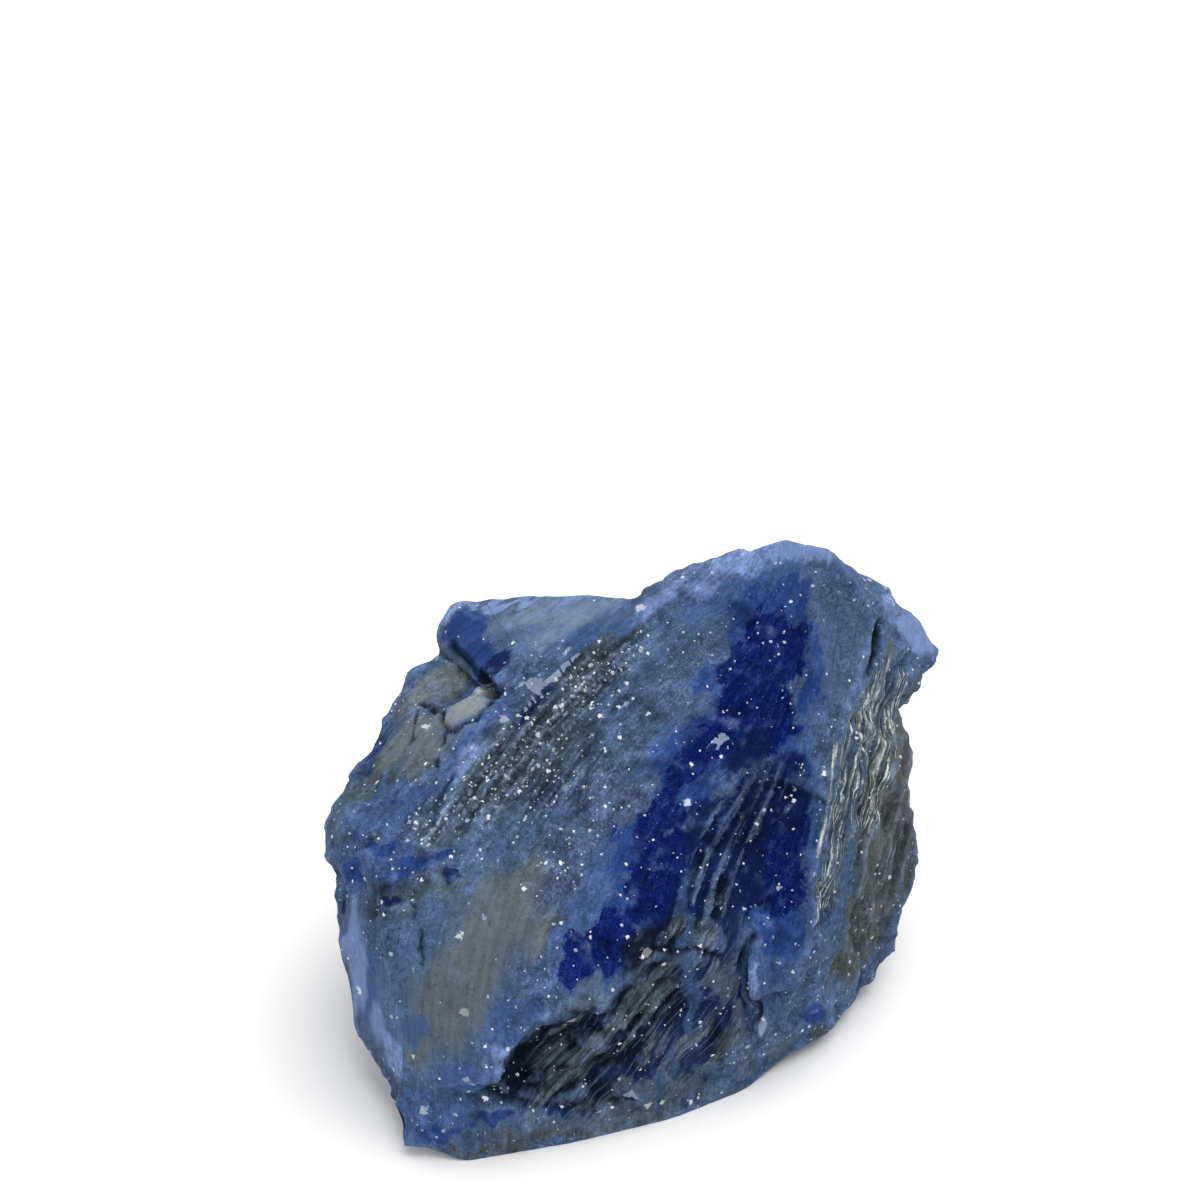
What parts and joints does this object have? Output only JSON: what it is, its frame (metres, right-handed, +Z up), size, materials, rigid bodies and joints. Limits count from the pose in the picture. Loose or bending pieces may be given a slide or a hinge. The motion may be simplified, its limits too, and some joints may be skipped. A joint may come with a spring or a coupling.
{
  "type": "rough sodalite",
  "caption": "One broken, unpolished piece of blue sodalite with a sloping front face, a hollow under a lip, a raised flake, a back ledge and a flat resting spot.",
  "frame": {"origin": "middle of the bounding box on X and Y, at the height of the resting spot", "axes": "+X along the longest extent, from the blunt left end to the pointed tip; -Y towards the big sloping front face; +Z up from the resting spot"},
  "size_m": [0.048, 0.0374, 0.0363],
  "materials": {
    "sodalite": "rough broken mineral, matt with a slight waxy lustre"
  },
  "bodies": {
    "root": {"sodalite": "sodalite"}
  },
  "joints": []
}
